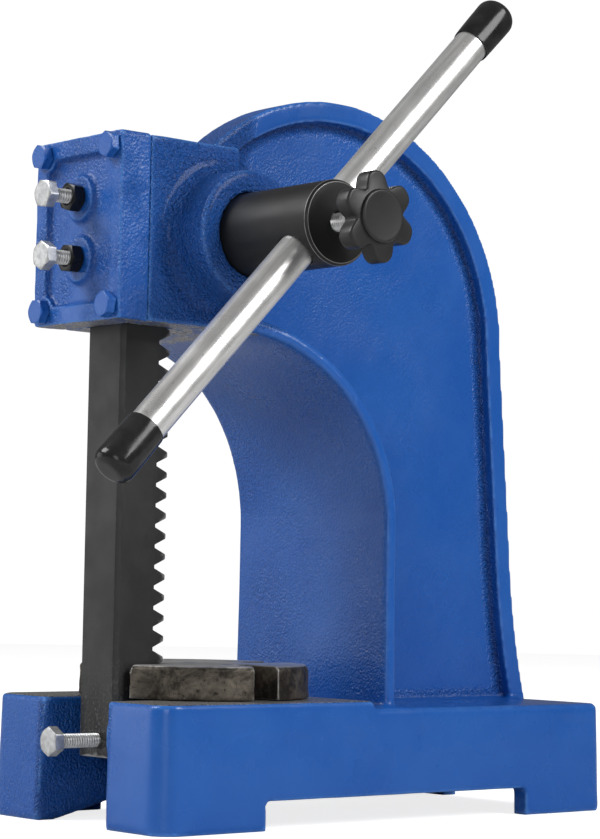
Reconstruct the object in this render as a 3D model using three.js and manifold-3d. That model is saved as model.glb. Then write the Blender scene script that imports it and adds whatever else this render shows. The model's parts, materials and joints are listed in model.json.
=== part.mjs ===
// Bench arbor press with a square rack ram, a pinion shaft cut from solid bar and a slotted anvil plate.
// Millimetres.  Z = 0 is the bench, X = 0 the centre plane of the casting, Y = 0 the axis of the ram.
// The throat opens towards -Y.  The lever stands on the +X side.
import * as THREE from 'three';
import { mergeVertices } from 'three/addons/utils/BufferGeometryUtils.js';
import Module from 'manifold-3d';

const wasm = await Module();
wasm.setup();

const GAP = 0.3;                 // clearance between touching pieces
const ROUND = 40;                // sides used for large round faces
const SMALL_ROUND = 20;          // sides used for screws and small holes
const CUT = 1;                   // how far a cutting tool runs past the face it opens
const BURIED = 5;                // how far one casting wall runs into the next
const CURVE_STEP = 3.75;         // degrees between points on the large casting curves

// base of the casting
const BASE = {
  half: 62.9, front: -25.5, rear: 237, ledge: 50.1, pad: 53.4, padEnd: 94,
  frontCorner: 11, rearCorner: 6, draft: 1.4, topRound: 2.2,
  deckUnderside: 41, wall: 9, archHeight: 12.4, archCorner: 1.5, archFront: 30.8, archRear: 185.7,
  rearArchHalf: 36, padEdge: 1, padBevel: 0.7, smallestCorner: 2,
};
const SLOT = {
  halfTop: 22.6, halfBottom: 24.6, end: 27, corner: 10, wall: 8, reliefStart: -15,
  reliefRun: 20, reliefRise: 4,
};
const MOUNT_HOLE = { x: 26, y: 179.5, radius: 4.5 };

// column: throat flange, thin web and outer rim
const THROAT = { backY: 106, springZ: 130, centreY: 25, riseY: 81, riseZ: 82, thick: 6.5 };
const FLANGE = { lowHalf: 52.5, highHalf: 40.5, taperPower: 1.8, edge: 2.4, footSpread: 1, straightTop: 100 };
const WEB_HALF = 4.5;
const RIM = {
  half: 10, thick: 9.5, centreY: 110.4, centreZ: 218.2, radius: 107.5, frontAngle: 136, arcSteps: 48,
  lean: 0.085, flareTop: 112, flare: 5, flareZs: [52, 58, 66, 76, 88, 100], straightZs: [150, 190],
};

// head, cover and pinion bearing
const HEAD = { half: 31.15, front: -13.4, rear: 36.3, low: 213, high: 292.6, corner: 4, frontCorner: 0.6 };
const NECK = { start: 33.3, length: 34, low: 215, high: 286.6, inset: 5, corner: 2, sections: 8 };
const BOSS = { radius: 27.9, near: 53.2, far: -38, root: 33, rootX: 31.15, blend: 8, chamfer: 1 };
const COVER = {
  front: -29, back: -13.7, low: 213, high: 293.1, half: 31.15, corner: 1.6, edgeInset: 0.5, edgeDepth: 0.6,
  rimX: 7.6, rimZ: 7.6, bevelX: 1.6, bevelZ: 1.6, panelDepth: 2.8, padRadius: 6.8, padDepth: 11.3,
  pocketHalf: 13, pocketLow: 217, pocketHigh: 289, pocketFloor: -19.6,
};
const COVER_BOLT = {
  x: 24.3, low: 219.2, high: 286.9, radius: 3, flats: 10, head: 4, length: 30, holeSpare: 2,
};
const GIB = { half: 12.6, low: 217.5, high: 288.5, front: -19.2, back: -13.4 };
const GIB_SCREW = { zs: [266.8, 240.4], radius: 3.175, flats: 11.1, head: 4.5, headBack: -43.2, tip: -19.5 };
const GIB_NUT = { flats: 11.1, front: -34.8, back: -29.2 };
const GIB_BOSS = { radius: 9.6, front: -28.9, spread: 1.6, root: 0.5 };
const THREAD_END = 0.8;          // chamfer at the tip of a screw
const HEX_BEVEL = 0.6;           // share of a hexagon's corner height that its face chamfer takes

// ram with its rack, and the pinion shaft that lifts it
const RAM = { half: 13, low: 28.4, high: 288.4, chamfer: 1.9, backChamfer: 0.9, channelGap: 0.4 };
const RACK = {
  module: 2.8, teeth: 11, pressure: THREE.MathUtils.degToRad(25), backlash: 0.44,
  dedendum: 1.25, phase: 3.25, low: 62, high: 284,
};
const TOOL_BORE = { radius: 5, depth: 26 };
const PINION = {
  z: 251.75, radius: 17.9, far: -40, near: 107.4, rootRadius: 11.7, cutHalf: 13.1, chamfer: 1,
  barHoleHalf: 40,
};
const CLAMP_SCREW = { z: 35.6, radius: 3.175, flats: 11.1, head: 4.5, headBack: -33.2, tip: -6 };

// lever and its clamp
const BAR = {
  x: 94.2, radius: 7.7, lower: 149, upper: 148.5, tilt: THREE.MathUtils.degToRad(45.6),
  chamfer: 0.8, endInset: 4,
};
const CAP = { radius: 8.8, mouth: 8.35, bore: 7.9, length: 25, round: 5, end: 3.6, lip: 0.3 };
const STUD = { radius: 4, tip: 102.3, end: 126, point: 1, endChamfer: 0.6 };
const KNOB = {
  back: 118.5, hubRadius: 7, hubSpread: 1.5, bodyBack: 125, bodyFront: 132.9, front: 134.6,
  capRadius: 11, lobes: 6, mean: 15.9, wave: 2.9, edge: 1.5, turn: THREE.MathUtils.degToRad(-21),
  pointsPerLobe: 10, buttonProfile: [[0, 1.5], [0.8, 0.5], [2, 0]],
};

// anvil plate
const ANVIL = {
  y: 40, radius: 50.6, low: 53.7, high: 68.3, edge: 1.8, lowEdge: 0.6, draft: 0.4,
  notchFloor: 24.3, notches: [32, 12.5, 19, 25], notchCorner: 4, notchRun: 10,
};
const PIN = { radius: 5, low: 40.5, high: 66.5, chamfer: 0.8 };

const rackPitch = Math.PI * RACK.module;
const pitchRadius = RACK.module * RACK.teeth / 2;
const PINION_Y = RAM.half - RACK.module + pitchRadius;

// ---------- solids ----------

function toManifold(geometry) {
  const bare = new THREE.BufferGeometry();
  bare.setAttribute('position', geometry.getAttribute('position').clone());
  if (geometry.index) bare.setIndex(geometry.index.clone());
  const merged = mergeVertices(bare, 1e-4);
  const vertProperties = new Float32Array(merged.getAttribute('position').array);
  const corner = (i) => new THREE.Vector3().fromArray(vertProperties, 3 * i);
  const triangles = [];
  let volume = 0;
  for (let i = 0; i < merged.index.count; i += 3) {
    const [a, b, c] = merged.index.array.slice(i, i + 3);
    if (a === b || b === c || c === a) continue;
    triangles.push([a, b, c]);
    volume += corner(a).dot(corner(b).cross(corner(c)));
  }
  const outward = volume > 0 ? triangles : triangles.map(([a, b, c]) => [a, c, b]);
  const triVerts = new Uint32Array(outward.flat());
  return new wasm.Manifold(new wasm.Mesh({ numProp: 3, vertProperties, triVerts }));
}

function toGeometry(solid) {
  const mesh = solid.getMesh();
  const geometry = new THREE.BufferGeometry();
  geometry.setAttribute('position', new THREE.BufferAttribute(new Float32Array(mesh.vertProperties), 3));
  geometry.setIndex(new THREE.BufferAttribute(new Uint32Array(mesh.triVerts), 1));
  geometry.computeVertexNormals();
  return geometry;
}

function union(...solids) {
  return wasm.Manifold.union(solids);
}

function box(x0, x1, y0, y1, z0, z1) {
  const geometry = new THREE.BoxGeometry(x1 - x0, y1 - y0, z1 - z0);
  geometry.translate((x0 + x1) / 2, (y0 + y1) / 2, (z0 + z1) / 2);
  return toManifold(geometry);
}

// turns an extrusion of (y, z) points along Z into one along X
const OUTLINE_TO_YZ = new THREE.Matrix4().makeBasis(
  new THREE.Vector3(0, 1, 0), new THREE.Vector3(0, 0, 1), new THREE.Vector3(1, 0, 0));

// outline points extruded from one coordinate to another: 'x' takes (y, z) points, 'z' takes (x, y)
function prism(axis, points, from, to) {
  const shape = new THREE.Shape(points.map(([a, b]) => new THREE.Vector2(a, b)));
  const geometry = new THREE.ExtrudeGeometry(shape, { depth: to - from, bevelEnabled: false });
  geometry.translate(0, 0, from);
  if (axis === 'x') geometry.applyMatrix4(OUTLINE_TO_YZ);
  return toManifold(geometry);
}

// round solid from (radius, position) steps along an axis that passes through a point
function turned(axis, steps, centre, sides) {
  const closed = [[0, steps[0][1]], ...steps, [0, steps[steps.length - 1][1]]];
  const profile = closed.map(([radius, position]) => new THREE.Vector2(radius, position));
  const geometry = new THREE.LatheGeometry(profile, sides);
  geometry.rotateX(Math.PI / 2);
  if (axis === 'x') geometry.rotateY(Math.PI / 2);
  if (axis === 'y') geometry.rotateX(-Math.PI / 2);
  geometry.translate(...centre);
  return toManifold(geometry);
}

function rod(axis, radius, from, to, centre, sides = SMALL_ROUND) {
  return turned(axis, [[radius, from], [radius, to]], centre, sides);
}

// closed skin through equal-length rings of points
function loft(rings) {
  const count = rings[0].length;
  const positions = rings.flat(2);
  const index = [];
  for (let ring = 0; ring < rings.length - 1; ring += 1) {
    for (let i = 0; i < count; i += 1) {
      const next = (i + 1) % count;
      const a = ring * count + i;
      const b = ring * count + next;
      index.push(a, b, b + count, a, b + count, a + count);
    }
  }
  const cap = (ring, flip) => {
    const flat = flatten(rings[ring]);
    for (const [a, b, c] of THREE.ShapeUtils.triangulateShape(flat, [])) {
      const base = ring * count;
      if (flip) index.push(base + a, base + c, base + b);
      else index.push(base + a, base + b, base + c);
    }
  };
  cap(0, true);
  cap(rings.length - 1, false);
  const geometry = new THREE.BufferGeometry();
  geometry.setAttribute('position', new THREE.Float32BufferAttribute(positions, 3));
  geometry.setIndex(index);
  return toManifold(geometry);
}

// drops a flat ring of 3-D points onto its own plane, keeping its winding
function flatten(ring) {
  const points = ring.map((p) => new THREE.Vector3(...p));
  const normal = new THREE.Vector3();
  points.forEach((p, i) => {
    const q = points[(i + 1) % points.length];
    normal.add(new THREE.Vector3().crossVectors(p, q));
  });
  normal.normalize();
  const across = new THREE.Vector3().subVectors(points[1], points[0]).normalize();
  const up = new THREE.Vector3().crossVectors(normal, across);
  return points.map((p) => new THREE.Vector2(p.dot(across), p.dot(up)));
}

// counter-clockwise rectangle with its own corner radius at the low-v and high-v ends
function roundedOutline(u0, u1, v0, v1, lowRadius, highRadius, steps = 6) {
  const corners = [
    [u1 - lowRadius, v0 + lowRadius, lowRadius, -90],
    [u1 - highRadius, v1 - highRadius, highRadius, 0],
    [u0 + highRadius, v1 - highRadius, highRadius, 90],
    [u0 + lowRadius, v0 + lowRadius, lowRadius, 180],
  ];
  const points = [];
  for (const [u, v, radius, start] of corners) {
    for (let step = 0; step <= steps; step += 1) {
      const angle = THREE.MathUtils.degToRad(start + 90 * step / steps);
      points.push([u + radius * Math.cos(angle), v + radius * Math.sin(angle)]);
    }
  }
  return points;
}

function hexagon(flats, turn = 0) {
  const points = [];
  for (let corner = 0; corner < 6; corner += 1) {
    const angle = THREE.MathUtils.degToRad(60 * corner + turn);
    points.push([flats / Math.sqrt(3) * Math.cos(angle), flats / Math.sqrt(3) * Math.sin(angle)]);
  }
  return points;
}

// hexagon block along Y with its corners chamfered on the chosen faces
function hexBlock(flats, front, back, x, z, turn, bevelBack = false) {
  const block = prism('z', hexagon(flats, turn), front, back).rotate([-90, 0, 0]);
  const corner = flats / Math.sqrt(3);
  const flat = flats / 2;
  const drop = (corner - flat) * HEX_BEVEL;
  const outside = corner + GAP;
  const steps = [[flat, front], [outside, front + drop]];
  if (bevelBack) steps.push([outside, back - drop], [flat, back]);
  else steps.push([outside, back]);
  return block.intersect(turned('y', steps, [0, 0, 0], ROUND)).translate([x, 0, z]);
}

// hexagon-headed screw along Y: head towards -Y, shank towards +Y
function hexScrew({ radius, flats, head, headBack, tip }, x, z, turn) {
  const steps = [[radius, headBack - CUT], [radius, tip - THREAD_END], [radius - THREAD_END, tip]];
  const shank = turned('y', steps, [x, 0, z], SMALL_ROUND);
  return union(hexBlock(flats, headBack - head, headBack, x, z, turn), shank);
}

// ---------- casting ----------

function baseOutline(inset, rear = BASE.rear, rearCorner = BASE.rearCorner) {
  const shrunk = (corner) => Math.max(corner - inset, BASE.smallestCorner);
  return roundedOutline(-BASE.half + inset, BASE.half - inset, BASE.front + inset, rear - inset,
    shrunk(BASE.frontCorner), shrunk(rearCorner));
}

// how far the tapered side has moved inwards at a height
function drafted(height, extra = 0) {
  return BASE.draft * height / BASE.ledge + extra;
}

function ring(outline, z) {
  return outline.map(([x, y]) => [x, y, z]);
}

// long ledge with a rounded top edge, and the raised machined pad at the front
function makeBase() {
  const rings = [ring(baseOutline(0), 0)];
  for (const turn of [0, 30, 60, 90]) {
    const angle = THREE.MathUtils.degToRad(turn);
    const z = BASE.ledge - BASE.topRound + BASE.topRound * Math.sin(angle);
    rings.push(ring(baseOutline(drafted(z, BASE.topRound * (1 - Math.cos(angle)))), z));
  }
  const padOutline = (inset) => baseOutline(inset, BASE.padEnd, BASE.smallestCorner);
  const bevelFoot = BASE.pad - BASE.padEdge;
  const pad = loft([
    ring(padOutline(0), 0),
    ring(padOutline(drafted(bevelFoot)), bevelFoot),
    ring(padOutline(drafted(BASE.pad, BASE.padBevel)), BASE.pad),
  ]);
  return union(loft(rings), pad);
}

// open-fronted slot between the two prongs, or the walls around it when grown
function slotBlock(grow, z0, z1) {
  const mouth = BASE.front - SLOT.wall - grow - CUT;
  const side = (half) => roundedOutline(-half - grow, half + grow, mouth, SLOT.end + grow,
    CUT, SLOT.corner + grow);
  return loft([ring(side(SLOT.halfBottom), z0), ring(side(SLOT.halfTop), z1)]);
}

// hollow under the deck, with the slot's own walls left standing and relieved towards the rear
function underside() {
  const inner = (z) => ring(baseOutline(BASE.wall + drafted(z)), z);
  const hollow = loft([inner(-CUT), inner(BASE.deckUnderside)]);
  const kept = slotBlock(SLOT.wall, -2 * CUT, BASE.deckUnderside + CUT);
  const reliefHalf = SLOT.halfBottom + SLOT.wall + CUT;
  const reliefEnd = SLOT.end + SLOT.reliefRun;
  const relief = prism('x', [
    [SLOT.reliefStart, -CUT], [reliefEnd, -CUT], [reliefEnd, BASE.archHeight + SLOT.reliefRise],
    [SLOT.end + SLOT.wall, BASE.archHeight], [SLOT.reliefStart, 0],
  ], -reliefHalf, reliefHalf);
  return union(hollow.subtract(kept), relief);
}

function baseCuts() {
  const archOutline = roundedOutline(BASE.archFront, BASE.archRear, -BASE.archHeight, BASE.archHeight,
    CUT, BASE.archCorner, 3);
  const sideArch = prism('x', archOutline, -BASE.half - CUT, BASE.half + CUT);
  const rearArch = box(-BASE.rearArchHalf, BASE.rearArchHalf,
    BASE.rear - BASE.wall - SLOT.reliefRise, BASE.rear + CUT, -CUT, BASE.archHeight);
  const holeFoot = BASE.deckUnderside - BURIED;
  const holes = [-1, 1].map((sign) => rod('z', MOUNT_HOLE.radius, holeFoot,
    BASE.ledge + BURIED, [sign * MOUNT_HOLE.x, MOUNT_HOLE.y, 0]));
  const pinHole = rod('z', PIN.radius + GAP, holeFoot, BASE.pad + CUT, [0, ANVIL.y, 0]);
  return union(underside(), slotBlock(0, -CUT, BASE.pad + CUT), sideArch, rearArch, ...holes, pinHole);
}

// throat curve: straight up the back, then a quarter ellipse forward to the head
function throatPoint(turn, offset) {
  const angle = THREE.MathUtils.degToRad(turn);
  const across = Math.cos(angle);
  const up = Math.sin(angle);
  const normal = new THREE.Vector2(across / THROAT.riseY, up / THROAT.riseZ).normalize();
  return [THROAT.centreY + THROAT.riseY * across + normal.x * offset,
    THROAT.springZ + THROAT.riseZ * up + normal.y * offset];
}

// half width of the throat flange, narrowing from the base up to the head
function flangeHalf(turn) {
  return FLANGE.lowHalf - (FLANGE.lowHalf - FLANGE.highHalf) * (turn / 90) ** FLANGE.taperPower;
}

function makeFlange() {
  const section = (half, place) => roundedOutline(-half, half, 0, THROAT.thick, FLANGE.edge, FLANGE.edge, 3)
    .map(([x, depth]) => place(x, depth));
  const upright = (half, z) => section(half, (x, depth) => [x, THROAT.backY + depth, z]);
  const rings = [
    upright(flangeHalf(0) + FLANGE.footSpread, BASE.ledge - BURIED),
    upright(flangeHalf(0), FLANGE.straightTop),
  ];
  for (let turn = 0; turn <= 90; turn += CURVE_STEP) {
    rings.push(section(flangeHalf(turn), (x, depth) => [x, ...throatPoint(turn, depth)]));
  }
  return loft(rings);
}

// outer edge of the column as (y, z, outward normal), from the rear foot round to the head
function rimCurve() {
  const points = [];
  const lowZs = [BASE.ledge - BURIED, ...RIM.flareZs, RIM.flareTop, ...RIM.straightZs];
  for (const z of lowZs) {
    const flare = Math.max(0, (RIM.flareTop - z) / (RIM.flareTop - BASE.pad));
    const y = RIM.centreY + RIM.radius + RIM.lean * (RIM.centreZ - z) + RIM.flare * flare ** 2;
    const slope = RIM.lean + 2 * RIM.flare * flare / (RIM.flareTop - BASE.pad);
    const size = Math.hypot(1, slope);
    points.push([y, z, 1 / size, slope / size]);
  }
  for (let step = 0; step <= RIM.arcSteps; step += 1) {
    const angle = THREE.MathUtils.degToRad(RIM.frontAngle * step / RIM.arcSteps);
    points.push([RIM.centreY + RIM.radius * Math.cos(angle), RIM.centreZ + RIM.radius * Math.sin(angle),
      Math.cos(angle), Math.sin(angle)]);
  }
  return points;
}

function makeColumn() {
  const curve = rimCurve();
  const outer = curve.map(([y, z]) => [y, z]);
  const inner = curve.map(([y, z, ny, nz]) => [y - ny * RIM.thick, z - nz * RIM.thick]);
  const rim = prism('x', [...outer, ...inner.reverse()], -RIM.half, RIM.half);
  const back = [];
  for (let turn = 90; turn >= 0; turn -= CURVE_STEP) back.push(throatPoint(turn, THROAT.thick / 2));
  back.push([THROAT.backY + THROAT.thick / 2, BASE.ledge - BURIED]);
  const insideHead = [HEAD.rear - BURIED, HEAD.high - BURIED];
  const web = prism('x', [...outer, insideHead, ...back], -WEB_HALF, WEB_HALF);
  return union(rim, web, makeFlange());
}

// neck that fairs the wide head into the thin web behind it
function makeNeck() {
  const rings = [];
  const thinHalf = WEB_HALF - CUT;
  for (let section = 0; section <= NECK.sections; section += 1) {
    const part = section / NECK.sections;
    const half = thinHalf + (HEAD.half - NECK.inset - WEB_HALF) * (1 + Math.cos(Math.PI * part)) / 2;
    const outline = roundedOutline(-half, half, NECK.low, NECK.high, NECK.corner, NECK.corner, 2);
    rings.push(outline.map(([x, z]) => [x, NECK.start + part * NECK.length, z]));
  }
  return loft(rings);
}

function makeHead() {
  const outline = roundedOutline(-HEAD.half, HEAD.half, HEAD.front, HEAD.rear,
    HEAD.frontCorner, HEAD.corner, 4);
  const block = prism('z', outline, HEAD.low, HEAD.high);
  const centre = [0, PINION_Y, PINION.z];
  const barrel = turned('x', [
    [BOSS.radius - BOSS.chamfer, BOSS.far], [BOSS.radius, BOSS.far + BOSS.chamfer],
    [BOSS.radius, BOSS.near - BOSS.chamfer], [BOSS.radius - BOSS.chamfer, BOSS.near],
  ], centre, ROUND);
  const blendSteps = [];
  for (let turn = 0; turn <= 90; turn += 22.5) {
    const angle = THREE.MathUtils.degToRad(turn);
    blendSteps.push([BOSS.root - (BOSS.root - BOSS.radius) * Math.sin(angle),
      BOSS.rootX + BOSS.blend * (1 - Math.cos(angle))]);
  }
  const skirt = (sign) => {
    const steps = sign > 0 ? blendSteps : blendSteps.map(([r, p]) => [r, -p]).reverse();
    const root = [[BOSS.root, sign * (BOSS.rootX - BURIED)]];
    return turned('x', sign > 0 ? [...root, ...steps] : [...steps, ...root], centre, ROUND);
  };
  const onHead = box(BOSS.far + CUT, BOSS.near, HEAD.front, HEAD.rear - CUT, HEAD.low + CUT, HEAD.high - CUT);
  return union(block, makeNeck(), barrel, union(skirt(1), skirt(-1)).intersect(onHead));
}

function headCuts() {
  const channel = box(-RAM.half - RAM.channelGap, RAM.half + RAM.channelGap,
    HEAD.front - CUT, RAM.half + RAM.channelGap, HEAD.low - CUT, HEAD.high + CUT);
  const bore = rod('x', PINION.radius + GAP, BOSS.far - CUT, BOSS.near + CUT, [0, PINION_Y, PINION.z], ROUND);
  const tapped = [];
  for (const x of [-COVER_BOLT.x, COVER_BOLT.x]) {
    for (const z of [COVER_BOLT.low, COVER_BOLT.high]) {
      tapped.push(rod('y', COVER_BOLT.radius + GAP, HEAD.front - CUT,
        COVER.front + COVER_BOLT.length + COVER_BOLT.holeSpare, [x, 0, z]));
    }
  }
  return union(channel, bore, ...tapped);
}

function makeFrame() {
  return union(makeBase(), makeColumn(), makeHead()).subtract(union(baseCuts(), headCuts()));
}

// ---------- cover and its fastenings ----------

function coverRing(insetX, insetZ, y) {
  return roundedOutline(-COVER.half + insetX, COVER.half - insetX, COVER.low + insetZ, COVER.high - insetZ,
    COVER.corner, COVER.corner, 2).map(([x, z]) => [x, y, z]).reverse();
}

function makeCover() {
  const body = loft([
    coverRing(COVER.edgeInset, COVER.edgeInset, COVER.front),
    coverRing(0, 0, COVER.front + COVER.edgeDepth),
    coverRing(0, 0, COVER.back),
  ]);
  const floor = COVER.front + COVER.panelDepth;
  const recess = loft([
    coverRing(COVER.rimX, COVER.rimZ, COVER.front - CUT),
    coverRing(COVER.rimX, COVER.rimZ, COVER.front),
    coverRing(COVER.rimX + COVER.bevelX, COVER.rimZ + COVER.bevelZ, floor),
  ]);
  const pads = [];
  const holes = [];
  for (const x of [-COVER_BOLT.x, COVER_BOLT.x]) {
    for (const z of [COVER_BOLT.low, COVER_BOLT.high]) {
      pads.push(rod('y', COVER.padRadius, COVER.front, COVER.front + COVER.padDepth, [x, 0, z]));
      holes.push(rod('y', COVER_BOLT.radius + GAP, COVER.front - CUT, COVER.back + CUT, [x, 0, z]));
    }
  }
  for (const z of GIB_SCREW.zs) {
    const bossSteps = [[GIB_BOSS.radius, GIB_BOSS.front],
      [GIB_BOSS.radius + GIB_BOSS.spread, floor + GIB_BOSS.root]];
    pads.push(turned('y', bossSteps, [0, 0, z], SMALL_ROUND));
    holes.push(rod('y', GIB_SCREW.radius + GAP, COVER.front - CUT, COVER.back + CUT, [0, 0, z]));
  }
  const envelope = loft([coverRing(0, 0, COVER.front), coverRing(0, 0, COVER.back)]);
  const pocket = box(-COVER.pocketHalf, COVER.pocketHalf, COVER.pocketFloor, COVER.back + CUT,
    COVER.pocketLow, COVER.pocketHigh);
  return union(body.subtract(recess), union(...pads).intersect(envelope))
    .subtract(union(pocket, ...holes));
}

function makeCoverBolt(x, z, turn) {
  return hexScrew({
    radius: COVER_BOLT.radius, flats: COVER_BOLT.flats, head: COVER_BOLT.head,
    headBack: COVER.front - GAP, tip: COVER.front + COVER_BOLT.length,
  }, x, z, turn);
}

function makeGibNut(z, turn) {
  const nut = hexBlock(GIB_NUT.flats, GIB_NUT.front, GIB_NUT.back, 0, z, turn, true);
  return nut.subtract(rod('y', GIB_SCREW.radius + GAP, GIB_NUT.front - CUT, GIB_NUT.back + CUT, [0, 0, z]));
}

// ---------- ram and pinion ----------

function makeRam() {
  const half = RAM.half;
  const front = half - RAM.chamfer;
  const back = half - RAM.backChamfer;
  const outline = [[-front, -half], [front, -half], [half, -front], [half, back], [back, half],
    [-back, half], [-half, back], [-half, -front]];
  const bar = prism('z', outline, RAM.low, RAM.high);
  const gapFloor = half - RACK.module * (1 + RACK.dedendum);
  const slope = Math.tan(RACK.pressure);
  const pitchHalf = rackPitch / 4 + RACK.backlash / 4;
  const rootHalf = pitchHalf - RACK.module * RACK.dedendum * slope;
  const mouthHalf = pitchHalf + (RACK.module + CUT) * slope;
  const gaps = [];
  const meshZ = PINION.z + RACK.phase;
  const first = Math.ceil((RACK.low - meshZ) / rackPitch - 0.5);
  const last = Math.floor((RACK.high - meshZ) / rackPitch - 0.5);
  for (let k = first; k <= last; k += 1) {
    const z = meshZ + (k + 0.5) * rackPitch;
    gaps.push(prism('x', [[gapFloor, z - rootHalf], [half + CUT, z - mouthHalf],
      [half + CUT, z + mouthHalf], [gapFloor, z + rootHalf]], -half - CUT, half + CUT));
  }
  const bore = rod('z', TOOL_BORE.radius, RAM.low - CUT, RAM.low + TOOL_BORE.depth, [0, 0, 0]);
  const cross = rod('y', CLAMP_SCREW.radius + GAP, -half - CUT, 0, [0, 0, CLAMP_SCREW.z]);
  return bar.subtract(union(...gaps, bore, cross));
}

// gap between two pinion teeth, as (y, z) points about the shaft axis, where the rack tooth meets it
function pinionGap() {
  const baseRadius = pitchRadius * Math.cos(RACK.pressure);
  const involute = (angle) => Math.tan(angle) - angle;
  const toothHalf = (radius) => {
    const angle = Math.acos(Math.min(1, baseRadius / Math.max(radius, baseRadius)));
    return Math.PI / (2 * RACK.teeth) + involute(RACK.pressure) - involute(angle)
      - RACK.backlash / (4 * pitchRadius);
  };
  const radii = [PINION.rootRadius, baseRadius, (baseRadius + pitchRadius) / 2, pitchRadius,
    (pitchRadius + PINION.radius) / 2, PINION.radius, PINION.radius + CUT];
  const flank = (side) => radii.map((radius) => {
    const angle = Math.PI - RACK.phase / pitchRadius + side * (Math.PI / RACK.teeth - toothHalf(radius));
    return [radius * Math.cos(angle), radius * Math.sin(angle)];
  });
  return [...flank(-1), ...flank(1).reverse()];
}

function makePinionShaft() {
  const centre = [0, PINION_Y, PINION.z];
  const shaft = turned('x', [
    [PINION.radius - PINION.chamfer, PINION.far], [PINION.radius, PINION.far + PINION.chamfer],
    [PINION.radius, PINION.near - PINION.chamfer], [PINION.radius - PINION.chamfer, PINION.near],
  ], centre, ROUND);
  const cuts = [];
  const gap = pinionGap();
  for (let tooth = 0; tooth < RACK.teeth; tooth += 1) {
    const turn = 2 * Math.PI * tooth / RACK.teeth;
    const turnedGap = gap.map(([y, z]) => [
      PINION_Y + y * Math.cos(turn) - z * Math.sin(turn),
      PINION.z + y * Math.sin(turn) + z * Math.cos(turn)]);
    cuts.push(prism('x', turnedGap, -PINION.cutHalf, PINION.cutHalf));
  }
  const barHole = alongBar(rod('z', BAR.radius + GAP, -PINION.barHoleHalf, PINION.barHoleHalf, [0, 0, 0]));
  const studHole = rod('x', STUD.radius + GAP, BAR.x, PINION.near + CUT, centre);
  return shaft.subtract(union(...cuts, barHole, studHole));
}

// ---------- lever ----------

// places a solid built about +Z on the lever's own line
function alongBar(solid) {
  const tilt = THREE.MathUtils.radToDeg(BAR.tilt) - 90;
  return solid.rotate([tilt, 0, 0]).translate([BAR.x, PINION_Y, PINION.z]);
}

function makeBar() {
  const low = -BAR.lower + BAR.endInset;
  const high = BAR.upper - BAR.endInset;
  return alongBar(turned('z', [
    [BAR.radius - BAR.chamfer, low], [BAR.radius, low + BAR.chamfer],
    [BAR.radius, high - BAR.chamfer], [BAR.radius - BAR.chamfer, high],
  ], [0, 0, 0], ROUND));
}

function makeCap(sign) {
  const end = sign > 0 ? BAR.upper : BAR.lower;
  const steps = [[CAP.mouth - CAP.lip, end - CAP.length], [CAP.mouth, end - CAP.length + CAP.lip],
    [CAP.radius, end - CAP.round]];
  for (const turn of [30, 60, 90]) {
    const angle = THREE.MathUtils.degToRad(turn);
    steps.push([CAP.radius - CAP.round * (1 - Math.cos(angle)), end - CAP.round * (1 - Math.sin(angle))]);
  }
  const shell = turned('z', steps, [0, 0, 0], ROUND);
  const bore = rod('z', CAP.bore, end - CAP.length - CUT, end - CAP.end, [0, 0, 0], ROUND);
  const cap = shell.subtract(bore);
  return alongBar(sign > 0 ? cap : cap.rotate([180, 0, 0]));
}

function makeStud() {
  const centre = [0, PINION_Y, PINION.z];
  return turned('x', [
    [STUD.radius - STUD.point, STUD.tip], [STUD.radius, STUD.tip + STUD.point],
    [STUD.radius, STUD.end - STUD.endChamfer], [STUD.radius - STUD.endChamfer, STUD.end],
  ], centre, SMALL_ROUND);
}

function makeKnob() {
  const centre = [0, PINION_Y, PINION.z];
  const lobed = (inset, x) => {
    const points = [];
    const count = KNOB.lobes * KNOB.pointsPerLobe;
    for (let i = 0; i < count; i += 1) {
      const angle = 2 * Math.PI * i / count;
      const radius = KNOB.mean + KNOB.wave * Math.cos(KNOB.lobes * (angle - KNOB.turn)) - inset;
      points.push([x, radius * Math.cos(angle), radius * Math.sin(angle)]);
    }
    return points;
  };
  const rounded = KNOB.edge * (1 - Math.SQRT1_2);
  const body = loft([
    lobed(KNOB.edge, KNOB.bodyBack), lobed(rounded, KNOB.bodyBack + rounded),
    lobed(0, KNOB.bodyBack + KNOB.edge), lobed(0, KNOB.bodyFront - KNOB.edge),
    lobed(rounded, KNOB.bodyFront - rounded), lobed(KNOB.edge, KNOB.bodyFront),
  ]).translate(centre);
  const hub = turned('x', [
    [KNOB.hubRadius, KNOB.back], [KNOB.hubRadius + KNOB.hubSpread, KNOB.bodyBack + CUT],
  ], centre, ROUND);
  const buttonSteps = KNOB.buttonProfile.map(([inset, drop]) => [KNOB.capRadius - inset, KNOB.front - drop]);
  const button = turned('x', [[KNOB.capRadius, KNOB.bodyFront - CUT], ...buttonSteps], centre, ROUND);
  const bore = rod('x', STUD.radius + GAP, KNOB.back - CUT, STUD.end + GAP, centre);
  return union(body, hub, button).subtract(bore);
}

// ---------- anvil ----------

function makeAnvil() {
  const plate = turned('z', [
    [ANVIL.radius - ANVIL.lowEdge, ANVIL.low], [ANVIL.radius, ANVIL.low + ANVIL.lowEdge],
    [ANVIL.radius - ANVIL.draft, ANVIL.high - ANVIL.edge], [ANVIL.radius - ANVIL.edge, ANVIL.high],
  ], [0, 0, 0], ROUND * 2);
  const notchMouth = ANVIL.radius + ANVIL.notchRun;
  const cuts = ANVIL.notches.map((width, i) => {
    const outline = roundedOutline(-width / 2, width / 2, ANVIL.notchFloor, notchMouth,
      ANVIL.notchCorner, CUT, 4);
    return prism('z', outline, ANVIL.low - CUT, ANVIL.high + CUT).rotate([0, 0, 180 + 90 * i]);
  });
  cuts.push(rod('z', PIN.radius + GAP, ANVIL.low - CUT, ANVIL.high + CUT, [0, 0, 0]));
  return plate.subtract(union(...cuts)).translate([0, ANVIL.y, 0]);
}

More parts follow.
